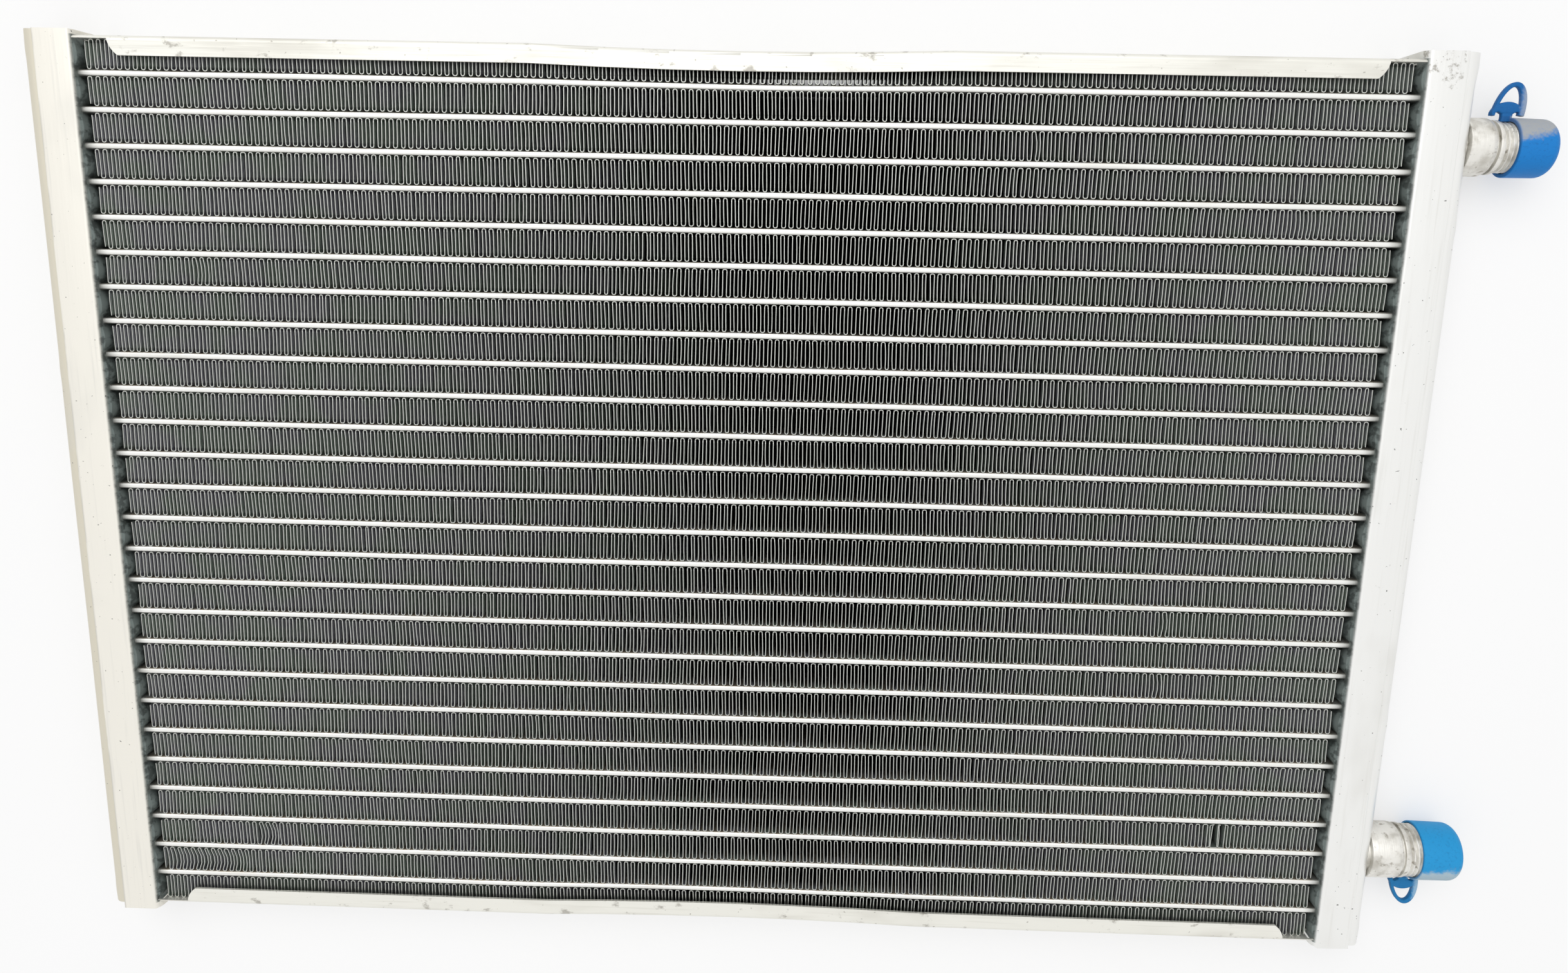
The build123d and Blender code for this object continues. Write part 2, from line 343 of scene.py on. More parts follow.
def pressed(grid):
    """Carries the dent of the side plates into the core, fading over the outer rows."""
    x, y = grid[..., 0], grid[..., 1]
    depth = np.clip((np.abs(y) - core_half_height + dent_fade) / dent_fade, 0, 1) ** 2
    moved = grid.copy()
    moved[..., 1] = y - np.sign(y) * depth * dent(x)
    return moved


def tube_y(row):
    """Height of a tube's middle, with row 0 at the top of the core."""
    return ((tube_count - 1) / 2 - row) * tube_pitch


def tube_skin(row):
    """One tube: a bar's outline carried along x. Two slow waves bend its line and fade at its ends."""
    draw = np.random.default_rng(tube_seed + row)
    x = np.linspace(-tube_half_length, tube_half_length, tube_stations)
    phase = draw.uniform(0, 2 * math.pi, 2)
    length = draw.uniform(*wander_lengths, 2)
    wander = tube_wander / 2 * (np.sin(x / length[0] + phase[0]) + np.sin(3 * x / length[1] + phase[1]))
    wander *= np.clip((tube_half_length - np.abs(x)) / wander_fade, 0, 1)
    outline = bar(tube_thickness, tube_depth, tube_rounding, tube_arc_points)
    grid = np.empty((len(x), len(outline), 3))
    grid[..., 0] = x[:, None]
    grid[..., 1] = tube_y(row) + outline[:, 0] + wander[:, None]
    grid[..., 2] = core_z + outline[:, 1]
    return pressed(grid)


tube_bright = (0.86, 0.86, 0.83)
tube_dull_and_shade = (0.60, 0.58, 0.53)
tube_flux = (0.46, 0.36, 0.24)
tube_root_shade = (0.34, 0.34, 0.31)
root_start = 210.0
root_full = 214.5

metal = Finish("tube_metal")
x = spot(metal)[0]
facing = metal.along(metal.node("NewGeometry", {}, {}, out="Normal"))[1]
patches = metal.clouds(7, (6, 1, 1))
colour = metal.mix(tube_bright, tube_dull_and_shade, patches.rise(0.55, 0.80) * 0.5)
# Painted shade: the tubes' downward-facing sides are painted duller.
colour = metal.mix(colour, tube_dull_and_shade, facing.rise(-0.15, -0.9) * 0.6)
colour = metal.mix(colour, tube_flux, facing.rise(0.45, 0.95) * metal.clouds(3).rise(0.3, 0.6) * 0.8)
# Painted shade: the tubes are painted dark grey at their roots, in the recess by the headers, with a
# cloudy spread.
root = abs(x).rise(root_start, root_full) * (0.6 + 0.4 * metal.clouds(2))
colour = metal.mix(colour, tube_root_shade, root * 0.75)
tube_finish = metal.surface(
    Base_Color=colour, Metallic=0.85, Roughness=0.30 + 0.25 * patches,
    Normal=metal.bumps(metal.clouds(1.6, (14, 1, 1)), 0.05))

for first in range(0, tube_count, 2):
    node = f"tubes_{first + 1:02d}_{first + 2:02d}"
    skin(node + "_drawn", [(tube_skin(first), False), (tube_skin(first + 1), False)], tube_finish,
         [node])


# Fins: strips of thin aluminium sheet folded to and fro 167 times and brazed between neighbouring tubes,
# with louvres cut in each leg. All legs are a little bowed, and some were bent or crumpled by a knock.
fin_height = tube_pitch - tube_thickness
fin_depth = 15.6
fin_front = core_z + fin_depth / 2
fin_half_length = 211.9
fin_legs = 335
fin_sheet = 0.24
fin_seed = 500
leg_points = 4
leg_wander = 0.07
leg_tilt_share = 0.5
leg_bow = 0.05
leg_lean = 0.10
lean_lengths = (14, 40)
lean_phases = (0, 6)
bend_points = 5
bend_squash = 0.94
bend_fullness = 0.8

# Damage: (strip, from x, to x, shift, kind, wave in radians per mm)
fin_damage = [
    (25, -211.0, -180.0, 1.10, "bowed", 0.4), (24, -176.0, -168.0, 1.0, "bowed", 0.5),
    (23, 172.0, 180.0, 1.0, "crumpled", 3.0), (20, 158.0, 164.0, 0.45, "bowed", 0.5),
    (18, 147.0, 152.0, 0.5, "bowed", 0.5), (16, 148.0, 152.0, 0.45, "bowed", 0.5),
    (6, -183.0, -177.0, 0.5, "bowed", 0.5), (2, 93.0, 97.0, 0.4, "bowed", 0.5),
    (4, 176.0, 190.0, 0.35, "bowed", 0.3),
]


def fin_skin(strip):
    """One strip: a leg climbs straight, a half circle joins it to the next, and so on; the line gets a
    thin rectangle as its section, from front to back. Legs wander, tilt, lean and bow by small random
    amounts. Damage shifts their front ends only: a bowed stretch most at mid height, a crumpled one to
    and fro along x."""
    draw = np.random.default_rng(fin_seed + strip)
    half = fin_height / 2 - fin_sheet / 2
    place = np.linspace(-fin_half_length, fin_half_length, fin_legs)
    radius = (place[1] - place[0]) / 2
    straight = half - radius
    up = np.where((np.arange(fin_legs) + strip) % 2, 1.0, -1.0)[:, None]
    share = np.linspace(-1, 1, leg_points)[None, :]
    wander = draw.normal(0, leg_wander, (fin_legs, 2))
    lean = leg_lean * np.sin(place / draw.uniform(*lean_lengths) + draw.uniform(*lean_phases))
    bow = draw.normal(0, leg_bow, (fin_legs, 1))
    tilt = (wander[:, 1:] * leg_tilt_share + lean[:, None]) * share * up
    leg_x = place[:, None] + wander[:, :1] + tilt + bow * (1 - share ** 2)
    leg_y = up * share * straight
    turn = np.linspace(0, math.pi, bend_points + 2)[None, 1:-1]
    start, end = leg_x[:-1, -1:], leg_x[1:, :1]
    bend_x = (start + end) / 2 - (end - start) / 2 * np.cos(turn)
    bend_y = up[:-1] * (straight + radius * bend_squash * np.sin(turn) ** bend_fullness)
    line_x, line_y = (np.append(np.hstack([leg[:-1], bend]), leg[-1])
                      for leg, bend in ((leg_x, bend_x), (leg_y, bend_y)))
    across = np.stack([np.gradient(line_y), -np.gradient(line_x)])
    side_x, side_y = across / np.hypot(*across) * fin_sheet / 2
    free = np.cos(line_y / half * math.pi / 2)
    shift = np.zeros_like(line_x)
    for row, low, high, amount, kind, wave in fin_damage:
        if row == strip:
            reach = np.sqrt(np.clip((line_x - low) * (high - line_x) * 4 / (high - low) ** 2, 0, 1))
            swing = np.sin(line_x * wave) if kind == "crumpled" else free * np.cos(line_y * wave)
            shift += amount * reach * swing
    middle_y = tube_y(strip - 1) - tube_pitch / 2
    fin_back = fin_front - fin_depth
    corners = [(1, fin_front, shift), (-1, fin_front, shift), (-1, fin_back, 0), (1, fin_back, 0)]
    grid = np.empty((len(line_x), len(corners), 3))
    for column, (way, z, moved) in enumerate(corners):
        grid[:, column, 0] = line_x + way * side_x + moved
        grid[:, column, 1] = middle_y + line_y + way * side_y
        grid[:, column, 2] = z
    return pressed(grid)


fin_edge_highlight = (0.58, 0.59, 0.55)
fin_green = (0.34, 0.40, 0.35)
fin_violet = (0.37, 0.37, 0.41)
fin_slat_highlight = (0.86, 0.88, 0.84)
fin_deep_shade = (0.010, 0.012, 0.010)
louvre_pitch = 1.1
louvre_half = 3.8
louvre_fade = 0.5
dark_depth = 6.5
lit_depth = 1.5
edge_depth = 0.12
edge_sharp = 0.04

metal = Finish("fin_metal")
y, z = spot(metal)[1:]
# Painted shade: the legs are painted darker deeper in from the front, down to near black, where shade
# falls between them.
lit = z.rise(fin_front - dark_depth, fin_front - lit_depth)
slats = abs((z / louvre_pitch).repeat() - 0.5) * 2
from_middle = (0.5 - abs((y / tube_pitch).repeat() - 0.5)) * tube_pitch
cut = from_middle.rise(louvre_half, louvre_half - louvre_fade)
colour = metal.mix(fin_green, fin_violet, metal.clouds(14).rise(0.4, 0.6))
# Painted highlights: pale stripes on the legs stand in for louvre slats catching light.
colour = metal.mix(colour, fin_slat_highlight, slats.rise(0.62, 0.85) * cut * (0.4 + 0.8 * metal.clouds(1.5)))
colour = metal.mix(fin_deep_shade, colour, lit)
# Painted highlight: the legs' front edges are painted paler.
colour = metal.mix(colour, fin_edge_highlight, z.rise(fin_front - edge_depth, fin_front - edge_sharp))
fin_finish = metal.surface(
    Base_Color=colour, Metallic=0.8, Roughness=0.34 + 0.2 * metal.clouds(2),
    Normal=metal.bumps(slats * cut, 0.25))

for strip in range(tube_count + 1):
    node = f"fin_{strip + 1:02d}"
    skin(node + "_folded", [(fin_skin(strip), False)], fin_finish, [node], sharp=50)


# Header plates: troughs pressed from aluminium sheet, slotted for the tubes, with a round dome between
# each two slots to stiffen the wall. Their fronts are scuffed and stained, their ends roughly sawn.
# Their inner walls beside the core are painted dark as painted shade.
edge_x = 215.0
seam_x = 227.5
floor_x = 217.2
header_depth = 21.2
header_half_length = 156.5
header_round = 1.3
plate_wall = 1.6
dome_rise = 2.1
dome_half = 4.35
dome_run_in = 3.2
dome_start = 0.9
plate_arc_points = 6
gap_stations = 16
wall_stations = 14
plate_seed = 7
front_wave = 0.05
front_lengths = (17.0, 6.3)
front_band = 1.2
front_start = 213.0
front_run_in = 3.0
corner_wave = 0.06
corner_length = 9.0
corner_band = 2.0

# Sawn ends, by side and end: how far each stops short of the full length, and how rough it is
plate_ends = {(-1, 1): (0.9, 0.15), (-1, -1): (0.0, 0.45), (1, 1): (0.1, 0.15), (1, -1): (0.2, 0.9)}


def end_places(side, sawn):
    """Where a header part's lower and upper end are along y."""
    return [way * (header_half_length - sawn[side, way][0]) for way in (-1, 1)]


def carried(outline, y):
    """An outline (x, z) repeated at each place along y."""
    grid = np.empty((len(y), len(outline), 3))
    grid[..., 0] = outline[:, 0]
    grid[..., 1] = y[:, None]
    grid[..., 2] = outline[:, 1]
    return grid


def saw(grid, side, sawn, seed, step):
    """Roughens a part's first and last loop: they move inwards by random amounts, drawn for every so
    many points and straight between those."""
    draw = np.random.default_rng(seed + side)
    points = np.arange(grid.shape[1])
    for row, way in ((0, -1), (-1, 1)):
        drawn = draw.uniform(0, sawn[side, way][1], len(points[::step]))
        grid[row, :, 1] -= way * np.interp(points, points[::step], drawn)


def plate_skin(side):
    """A header plate: the trough's outline carried along y. Its wall moves towards the core by the
    dome's height, an arc along y times a quarter circle from the front and back edges. Its front and
    its front corner are a little wavy."""
    outline = rounded([
        (seam_x, header_depth, 0.3), (edge_x, header_depth, header_round), (edge_x, 0, header_round),
        (seam_x, 0, 0.3), (seam_x, plate_wall, 0.2), (floor_x, plate_wall, 0.5),
        (floor_x, header_depth - plate_wall, 0.5), (seam_x, header_depth - plate_wall, 0.2)],
        plate_arc_points)
    # The wall that carries the domes lies between the second and the third corner
    corner = 2 * plate_arc_points
    wall_z = np.linspace(outline[corner - 1, 1], outline[corner, 1], wall_stations)[1:-1]
    wall = np.stack([np.full(len(wall_z), edge_x), wall_z], 1)
    outline = np.concatenate([outline[:corner], wall, outline[corner:]])
    gaps = np.arange(tube_count + 1)[:, None] - tube_count / 2
    stations = np.arange(1, gap_stations + 1) / gap_stations - 0.5
    y = np.unique(np.append((gaps + stations) * tube_pitch, end_places(side, plate_ends)).round(5))
    from_middle = np.abs((y / tube_pitch + 0.5) % 1 - 0.5) * tube_pitch
    curve = (dome_half ** 2 + dome_rise ** 2) / (2 * dome_rise)
    arc = np.sqrt(np.clip(curve ** 2 - from_middle ** 2, 0, None)) - (curve - dome_rise)
    from_edge = np.minimum(outline[:, 1], header_depth - outline[:, 1]) - dome_start
    share = np.clip(from_edge / dome_run_in, 0, 1)
    swell = np.sqrt(1 - (1 - share) ** 2) * (outline[:, 0] < edge_x + header_round)
    grid = carried(outline, y)
    grid[..., 0] -= np.clip(arc, 0, None)[:, None] * swell
    front = np.clip(1 - (header_depth - grid[..., 2]) / front_band, 0, 1)
    front = front * np.clip((grid[..., 0] - front_start) / front_run_in, 0, 1)
    wave = np.sin(y / front_lengths[0] + side) + np.sin(y / front_lengths[1] + 2 * side)
    grid[..., 2] -= front_wave * front * (1 + wave[:, None] / 2)
    beside = front * (grid[..., 0] < edge_x + corner_band)
    grid[..., 0] += corner_wave * beside * np.sin(y / corner_length + side)[:, None]
    saw(grid, side, plate_ends, plate_seed, step=3)
    grid[..., 0] *= side
    return grid


header_warm = (0.84, 0.815, 0.745)
header_cool = (0.84, 0.84, 0.82)
tank_stain_and_shade = (0.66, 0.62, 0.51)
header_grey = (0.64, 0.63, 0.59)
header_stain = (0.34, 0.32, 0.28)
header_speck = (0.10, 0.10, 0.09)
header_wall_shade = (0.17, 0.20, 0.19)
wall_black_dirt_and_shade = (0.012, 0.014, 0.013)
side_split = 100.0
stained_y = (139.0, 149.0)
stained_x = (206.4, 216.4)
wall_half = (tube_count + 1) / 2 * tube_pitch
wall_lit = 15.0
wall_dark = 9.0

metal = Finish("header_metal")
x, y, z = spot(metal)
outward = abs(x)
right = x.rise(-side_split, side_split)
patches = metal.clouds(22, (1, 2.5, 1))
colour = metal.mix(header_warm, header_cool, right)
# The left tank is painted darker and beige: partly a stain, partly painted shade of a side turned away
# from the light.
left_tank = x.rise(0.5 - seam_x, -0.5 - seam_x)
colour = metal.mix(colour, tank_stain_and_shade, left_tank * 0.9)
seam = outward.rise(seam_x - 0.9, seam_x - 0.1) * outward.rise(seam_x + 0.9, seam_x + 0.3)
seam = seam * metal.clouds(5, (1, 4, 1)).rise(0.35, 0.6)
colour = metal.mix(colour, header_stain, seam * (1 - right) * 0.45)
colour = metal.mix(colour, header_grey, patches.rise(0.52, 0.80) * 0.45)
rubbed = metal.clouds(1.3, (1, 30, 1), detail=2)
colour = metal.mix(colour, header_grey, rubbed.rise(0.55, 0.80) * 0.35)
top_right = y.rise(*stained_y) * x.rise(*stained_x) * outward.rise(seam_x - 0.5, seam_x - 1.3)
stains = metal.clouds(2.8, detail=6, roughness=0.72)
colour = metal.mix(colour, header_stain, (stains - 0.13 + 0.13 * top_right).rise(0.53, 0.66) * 0.8)
specks = metal.clouds(1.4, detail=2, shift=3.0)
colour = metal.mix(colour, header_speck, specks.rise(0.715, 0.75) * 0.8)
# Painted shade: the plates' inner walls beside the core are painted dark, and near black deeper down.
wall = outward.rise(edge_x + 0.8, edge_x - 0.2) * abs(y).rise(wall_half + 0.3, wall_half)
colour = metal.mix(colour, header_wall_shade, wall)
# Dark blotches on the inner walls: partly dirt, partly painted shade.
wall_grime_and_shade = metal.clouds(2.6, detail=4, shift=1.0)
colour = metal.mix(colour, wall_black_dirt_and_shade, wall_grime_and_shade.rise(0.46, 0.62) * wall * 0.6)
colour = metal.mix(colour, wall_black_dirt_and_shade, z.rise(wall_lit, wall_dark) * wall)
raised = 0.5 * rubbed + 0.5 * metal.clouds(9)
header_finish = metal.surface(
    Base_Color=colour, Metallic=0.75, Roughness=0.36 + 0.22 * patches + 0.2 * wall,
    Normal=metal.bumps(raised, 0.10))

for name, side in (("left", -1), ("right", 1)):
    skin("plate_" + name, [(plate_skin(side), False)], header_finish,
         ["header_plate_" + name])


# Tanks: the headers' outer halves, bent from aluminium sheet, set into the plates and brazed along two
# seams. The wall swells a little where an end plug or a baffle was pressed in.
tank_x = 232.5
tank_start = 220.0
tank_wall = 1.5
tank_corner = 3.6
tank_arc_points = 9
tank_stations = 160
tank_seed = 17
tank_wave = 0.10
tank_wave_length = 21.0
swell_reach = 9.0
pick_margin = 0.1

# Swells of the outer wall, by side: (middle, half length, height)
tank_swells = {
    -1: [(149.9, 4.5, 0.45), (-149.9, 4.5, 0.45), (45.6, 4.5, 0.45)],
    1: [(153.0, 7.5, 1.15), (-149.9, 5.0, 0.6), (102.6, 4.5, 0.45), (-68.4, 4.5, 0.45)],
}

# Sawn ends, as for the plates
tank_ends = {(-1, 1): (0.8, 0.2), (-1, -1): (1.5, 0.5), (1, 1): (0.1, 0.2), (1, -1): (0.9, 0.9)}


def tank_skin(side):
    """A tank: a rounded trough's outline carried along y. Its outer wall rises in swells, a squared
    parabola along y times a parabola across, and sinks in a slow wave. The stations next to the ends
    are left out, which gives the saw its room."""
    low, high = plate_wall, header_depth - plate_wall
    inner_x, inner_corner = tank_x - tank_wall, tank_corner - tank_wall
    outline = rounded([
        (tank_start, high, 0.2), (tank_x, high, tank_corner), (tank_x, low, tank_corner),
        (tank_start, low, 0.2), (tank_start, low + tank_wall, 0.2),
        (inner_x, low + tank_wall, inner_corner), (inner_x, high - tank_wall, inner_corner),
        (tank_start, high - tank_wall, 0.2)], tank_arc_points)
    y = np.delete(np.linspace(*end_places(side, tank_ends), tank_stations), [1, -2])
    grid = carried(outline, y)
    outer = outline[:, 0] > inner_x + pick_margin
    height = np.clip(1 - ((outline[:, 1] - core_z) / swell_reach) ** 2, 0, 1) * outer
    for place, half, rise in tank_swells[side]:
        bump = np.clip(1 - ((y - place) / half) ** 2, 0, 1) ** 2
        grid[..., 0] += rise * bump[:, None] * height
    wave = (1 + np.sin(y / tank_wave_length + 2 * side)) / 2
    grid[..., 0] -= tank_wave * outer * wave[:, None]
    saw(grid, side, tank_ends, tank_seed, step=4)
    grid[..., 0] *= side
    return grid


for name, side in (("left", -1), ("right", 1)):
    skin("tank_" + name, [(tank_skin(side), False)], header_finish,
         ["header_tank_" + name])


# Plugs and baffles: plain plates pressed from aluminium and brazed inside the headers. The plugs close
# the ends and just show there; the baffles turn the flow and are out of sight.
def coat(node, finish):
    """Gives a piece of the frame its finish."""
    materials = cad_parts[node].data.materials
    materials.clear()
    materials.append(finish)


for node in ("header_end_plugs", "header_baffles"):
    coat(node, header_finish)


# Side plates: channels bent from aluminium sheet that close the core at its long edges, tabbed into the
# headers and brazed. They are pressed in at mid length, chipped and smeared with dirt.
side_pale = (0.82, 0.81, 0.75)
side_grey = (0.60, 0.58, 0.52)
side_stain = (0.33, 0.31, 0.27)

metal = Finish("side_plate_metal")
patches = metal.clouds(16, (3, 1, 1))
rubbed = metal.clouds(1.2, (26, 1, 1), detail=2)
colour = metal.mix(side_pale, side_grey, patches.rise(0.50, 0.75) * 0.6)
colour = metal.mix(colour, side_grey, rubbed.rise(0.55, 0.80) * 0.4)
stains = metal.clouds(5, (1.5, 1, 1), detail=5, roughness=0.65)
colour = metal.mix(colour, side_stain, stains.rise(0.60, 0.70) * 0.7)
chips = metal.clouds(1.6, detail=2, shift=2.0)
colour = metal.mix(colour, side_stain, chips.rise(0.70, 0.74) * 0.7)
side_finish = metal.surface(
    Base_Color=colour, Metallic=0.75, Roughness=0.36 + 0.22 * patches,
    Normal=metal.bumps(0.4 * rubbed + 0.6 * metal.clouds(12, (2, 1, 1)), 0.25))

for node in ("side_plate_top", "side_plate_bottom"):
    coat(node, side_finish)


# Ports: turned aluminium fittings brazed into the right tank, a small one near the top and a large one
# near the bottom. Each has a stained collar, a groove and land, and a thread that runs under its cap.
small_port = {"node": "outlet_port", "y": 128.4, "collar": 9.2, "length": 7.0, "thread": 7.94,
              "bore": 4.9, "pitch": 1.411}
large_port = {"node": "inlet_port", "y": -121.0, "collar": 10.1, "length": 9.5, "thread": 9.52,
              "bore": 6.2, "pitch": 1.588}
spigot_wall = 1.6
collar_taper = 1.6
groove_depth = 0.8
groove_width = 1.0
land_width = 1.3
thread_length = 14.0
thread_depth = 0.85
thread_slope = 1.3
thread_root = 0.05
thread_run_in = 0.6
thread_run_out = 0.9
run_margin = 0.05
bore_margin = 0.5
port_arc_points = 4
turn_steps = 80
thread_stations = 110


def turned(profile, y):
    """A profile (along x, from the axis) turned about the axis at height y."""
    angle = np.linspace(0, 2 * math.pi, turn_steps, endpoint=False)[:, None]
    grid = np.empty((turn_steps, len(profile), 3))
    grid[..., 0] = profile[:, 0]
    grid[..., 1] = y + profile[:, 1] * np.cos(angle)
    grid[..., 2] = core_z + profile[:, 1] * np.sin(angle)
    return grid


def port_skin(port):
    """A port: its profile turned about x. In the thread's stretch the radius falls in a helix: a
    triangle wave of x over the pitch minus the turn, cut off at the crest and faded at both ends."""
    inside = tank_x - tank_wall
    collar_end = tank_x + port["length"]
    taper_end = collar_end + collar_taper
    groove_end = taper_end + groove_width
    land_end = groove_end + land_width
    end = land_end + thread_length
    land = (port["collar"] + port["thread"]) / 2
    groove = port["thread"] - groove_depth
    profile = rounded([
        (inside, port["bore"], 0.1), (inside, port["bore"] + spigot_wall, 0.1),
        (tank_x, port["bore"] + spigot_wall, 0.1), (tank_x, port["collar"], 0.2),
        (collar_end, port["collar"], 0.8), (taper_end, land, 0.3), (taper_end, groove, 0.2),
        (groove_end, groove, 0.2), (groove_end, land, 0.2), (land_end, land, 0.2),
        (land_end, port["thread"], 0.01), (end, port["thread"], 0.7), (end, port["bore"], 0.3)],
        port_arc_points)
    # The thread ends at the last corner but one
    corner = len(profile) - 2 * port_arc_points
    run = np.linspace(land_end + run_margin, profile[corner, 0] - run_margin, thread_stations)
    run = np.stack([run, np.full(thread_stations, port["thread"])], 1)
    profile = np.concatenate([profile[:corner], run, profile[corner:]])
    along, radius = profile[:, 0] - land_end, profile[:, 1]
    turn = np.linspace(0, 1, turn_steps, endpoint=False)[:, None]
    phase = (along / port["pitch"] - turn) % 1
    ridge = np.clip(thread_slope * np.abs(2 * phase - 1) - thread_root, 0, 1)
    fade = np.clip(along / thread_run_in, 0, 1) * np.clip((thread_length - along) / thread_run_out, 0, 1)
    fade = fade * (radius > port["bore"] + bore_margin) * (along > 0)
    cut = 1 - thread_depth * (1 - ridge) * fade / radius
    grid = turned(profile, port["y"])
    grid[..., 1] = port["y"] + (grid[..., 1] - port["y"]) * cut
    grid[..., 2] = core_z + (grid[..., 2] - core_z) * cut
    return grid


port_pale = (0.80, 0.785, 0.74)
port_dull = (0.55, 0.53, 0.48)
port_brown = (0.26, 0.23, 0.18)

metal = Finish("port_metal")
patches = metal.clouds(6, detail=4)
turned_lines = metal.clouds(0.35, (1, 40, 40), detail=1)
colour = metal.mix(port_pale, port_dull, patches.rise(0.40, 0.70))
colour = metal.mix(colour, port_brown, metal.clouds(2.4, detail=5, shift=4.0).rise(0.58, 0.72) * 0.7)
port_finish = metal.surface(
    Base_Color=colour, Metallic=0.8, Roughness=0.38 + 0.25 * patches,
    Normal=metal.bumps(0.3 * turned_lines + 0.7 * patches, 0.25))

for port in (small_port, large_port):
    skin(port["node"] + "_turned", [(port_skin(port), True)], port_finish, [port["node"]])


# Caps: soft blue plastic, pushed over the threads to keep dirt out. Each carries a pull ring on its
# mouth: a stem over the rim, a crown with two flukes, and a loop. The small cap is grey with dust on its
# upper side, the large cap a paler blue-grey on its lower side; the mouth rims are painted dark as
# painted shade.
cap_clearance = 0.2
cap_corner = 3.4
cap_arc_points = 9
cap_taper = 0.025
cap_sag = 0.12
pole_gap = 0.02
thread_cover = 9.6
ring_half_width = 5.2
ring_height = 10.4
ring_band = 1.5
ring_thinning = 0.30
ring_thickness = 2.2
ring_rounding = 0.3
ring_step = 0.12
ring_lift = 0.6
ring_overlap = 1.0
ring_arc_points = 4
loop_stations = 40
crown_stations = 31
crown_reach = 0.97
crown_height = 4.1
crown_base = 0.15
notch_place = 0.58
notch_half = 0.42
notch_height = 1.5
notch_fullness = 0.7
fluke_drop = 0.3
stem_share = 0.3
stem_joint = 0.4
stem_stations = 8
stem_width = 4.0
stem_waist = 0.12
stem_top = 1.2

caps = [
    {"port": small_port, "node": "outlet_cap", "wall": 1.25, "length": 13.6, "side": 1, "lean": 1.8,
     "blue": (0.008, 0.200, 0.580), "pale_side": (0.42, 0.42, 0.40), "pale_start": 1.6, "pale_rise": 0.26},
    {"port": large_port, "node": "inlet_cap", "wall": 0.8, "length": 15.4, "side": -1, "lean": 1.4,
     "blue": (0.016, 0.300, 0.640), "pale_side": (0.46, 0.56, 0.60), "pale_start": 3.0, "pale_rise": -0.04},
]


def cap_mouth(port):
    """Where a cap's mouth is along x."""
    start = tank_x + port["length"] + collar_taper + groove_width + land_width
    return start + thread_length - thread_cover


def ring_loop(cap):
    """The loop: half an ellipse that leans over, with a bar carried along it, wider at one foot."""
    turn = np.linspace(0.0, math.pi, loop_stations)
    half, high = ring_half_width - ring_band / 2, ring_height - ring_band / 2
    path = np.stack([half * np.cos(turn) + cap["lean"] * np.sin(turn), high * np.sin(turn)], 1)
    heading = np.gradient(path, axis=0)
    heading /= np.linalg.norm(heading, axis=1)[:, None]
    section = bar(ring_band, ring_thickness - ring_step, ring_rounding, ring_arc_points)
    width = section[:, 0] * (1 + ring_thinning * np.cos(turn))[:, None]
    loop = np.empty((len(turn), len(section), 3))
    loop[..., 0] = path[:, :1] - heading[:, 1:] * width
    loop[..., 1] = path[:, 1:] + heading[:, :1] * width
    loop[..., 2] = section[:, 1]
    return loop


def ring_crown():
    """The crown: a row of bars under an arc. Their lower edge is notched on both sides of the stem."""
    across = np.linspace(-crown_reach, crown_reach, crown_stations)
    top = crown_height * np.sqrt(1 - across ** 2) + crown_base
    from_notch = np.abs(np.abs(across) - notch_place) / notch_half
    under = notch_height * np.clip(1 - from_notch, 0, 1) ** notch_fullness - fluke_drop
    under = np.where(np.abs(across) < stem_share, stem_joint, under)
    section = bar(1.0, ring_thickness, ring_rounding, ring_arc_points)
    crown = np.empty((len(across), len(section), 3))
    crown[..., 0] = (ring_half_width * across)[:, None]
    crown[..., 1] = ((top + under) / 2)[:, None] + (top - under)[:, None] * section[:, 0]
    crown[..., 2] = section[:, 1]
    return crown


def ring_stem(cap):
    """The stem: a bar with a slight waist, from the cap's inner wall up into the crown."""
    rise = np.linspace(-(ring_lift + cap["wall"]), stem_top, stem_stations)
    waist = 1 - stem_waist * np.sin(np.linspace(0, math.pi, stem_stations))
    section = bar(stem_width, ring_thickness - 2 * ring_step, ring_rounding, ring_arc_points)
    stem = np.empty((len(rise), len(section), 3))
    stem[..., 0] = section[:, 0] * waist[:, None]
    stem[..., 1] = rise[:, None]
    stem[..., 2] = section[:, 1]
    return stem


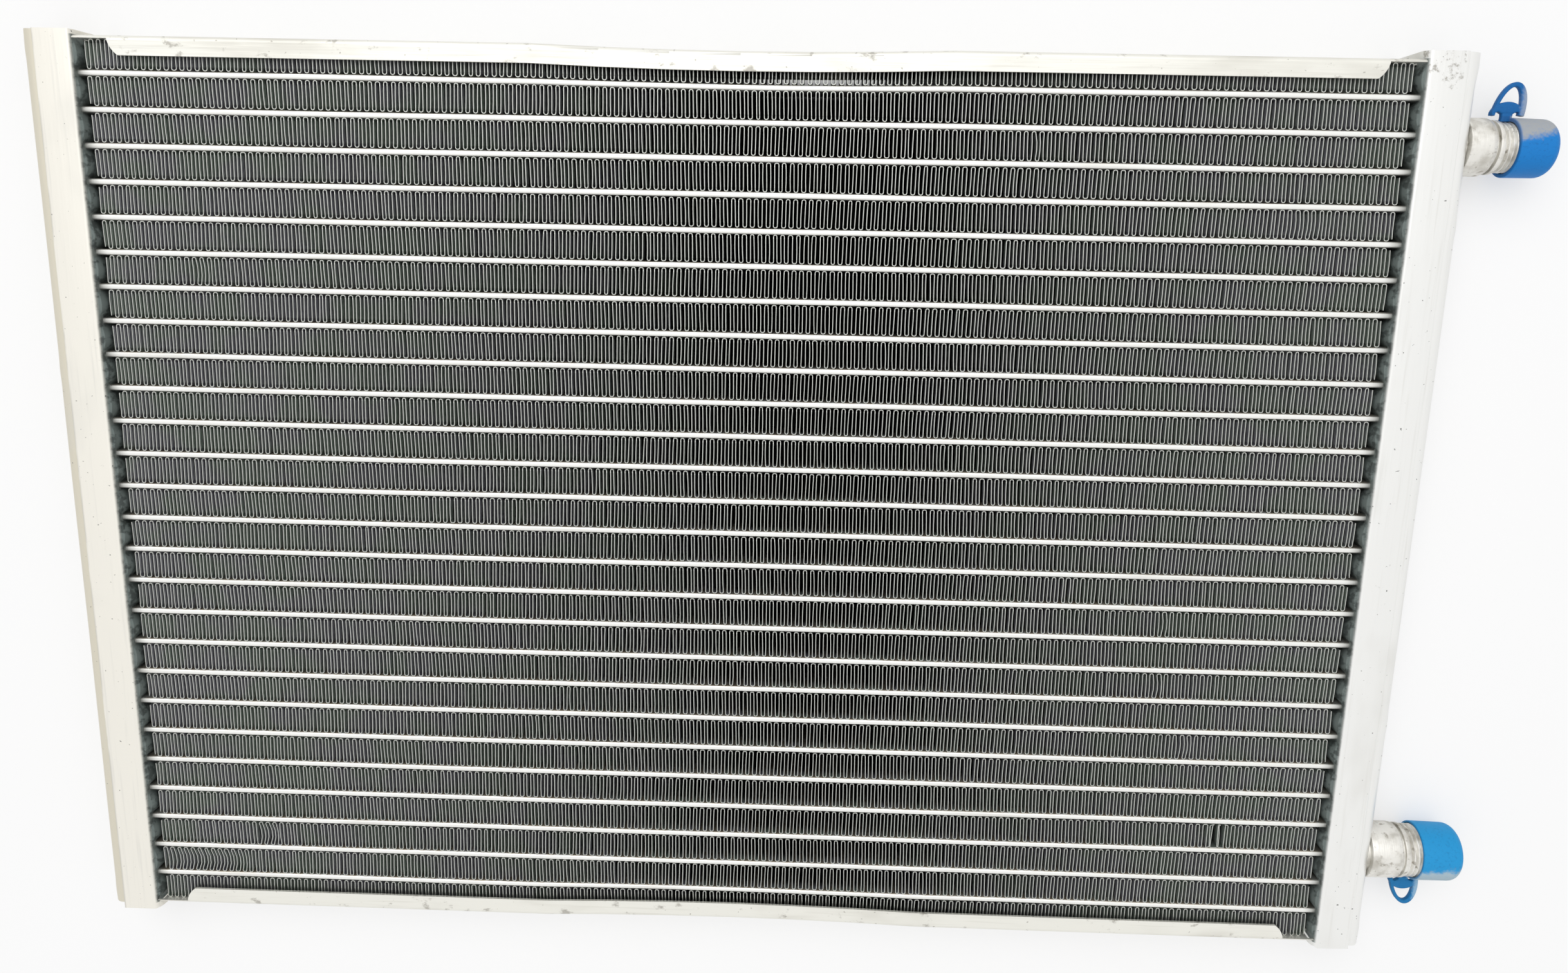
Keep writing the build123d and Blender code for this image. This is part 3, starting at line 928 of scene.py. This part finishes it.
def cap_shells(cap):
    """A cap: a cup turned about x, which narrows and sags a little towards its closed end, and the
    three parts of its ring, stood on its mouth."""
    port = cap["port"]
    inner = port["thread"] + cap_clearance
    outer = inner + cap["wall"]
    mouth = cap_mouth(port)
    end = mouth + cap["length"]
    floor = end - cap["wall"]
    profile = rounded([
        (mouth, inner, 0.25), (mouth, outer, 0.45), (end, outer, cap_corner), (end, pole_gap, 0.01),
        (floor, pole_gap, 0.01), (floor, inner, cap_corner - cap["wall"])], cap_arc_points)
    cup = turned(profile, port["y"])
    share = (cup[..., 0] - mouth) / cap["length"]
    cup[..., 1] = port["y"] + (cup[..., 1] - port["y"]) * (1 - cap_taper * share) - cap_sag * share
    parts = [ring_loop(cap), ring_crown(), ring_stem(cap)]
    for part in parts:
        part[..., 0] += mouth - stem_width / 2 + ring_overlap
        part[..., 1] = port["y"] + cap["side"] * (outer + ring_lift + part[..., 1])
        part[..., 2] += core_z
    return [(cup, True)] + [(part, False) for part in parts]


cap_navy_and_shade = (0.006, 0.060, 0.200)
pale_blotch = 6.0
pale_grain = 3.0
pale_fade = (-1.2, 2.2)
rim_margin = 0.3
rim_fade = 0.4
rub_grain = 2.0
rub_fade = (2.2, 4.0)

for cap in caps:
    mouth = cap_mouth(cap["port"])
    rim = cap["port"]["thread"] + cap_clearance + cap["wall"] + rim_margin
    plastic = Finish("cap_plastic_" + ("small" if cap["side"] > 0 else "large"))
    x, y = spot(plastic)[:2]
    blotches = plastic.clouds(5, detail=4)
    fine = plastic.clouds(0.9, detail=3)
    height = (y - cap["port"]["y"]) * cap["side"]
    pale_edge = cap["pale_start"] + (x - mouth) * cap["pale_rise"]
    ragged = (blotches - 0.5) * pale_blotch + (fine - 0.5) * pale_grain
    # Paler on one side: grey dust on the small cap's upper side, a paler blue-grey on the large cap's
    # lower side.
    pale_share = (height - pale_edge + ragged).rise(*pale_fade)
    on_ring = height.rise(rim, rim + rim_fade)
    rubbed_leg = (x - mouth + (fine - 0.5) * rub_grain).rise(*rub_fade)
    pale_share = pale_share * (1 - on_ring) * x.rise(mouth - 0.6, mouth + 0.8) + on_ring * rubbed_leg * 0.7
    colour = plastic.mix(cap["blue"], cap_navy_and_shade, fine.rise(0.5, 0.8) * 0.3)
    colour = plastic.mix(colour, cap_navy_and_shade, on_ring * (1 - rubbed_leg) * 0.55)
    colour = plastic.mix(colour, cap["pale_side"], pale_share * (0.75 + 0.25 * fine))
    # Painted shade: each cap's mouth rim, turned towards the tank, is painted dark.
    colour = plastic.mix(colour, cap_navy_and_shade, x.rise(mouth + 0.5, mouth - 0.3) * (1 - on_ring) * 0.7)
    cap_finish = plastic.surface(
        Base_Color=colour, Roughness=0.55 + 0.25 * pale_share, Specular_IOR_Level=0.25,
        Normal=plastic.bumps(0.5 * fine + 0.5 * blotches, 0.10))
    skin(cap["node"] + "_soft", cap_shells(cap), cap_finish, [cap["node"]])
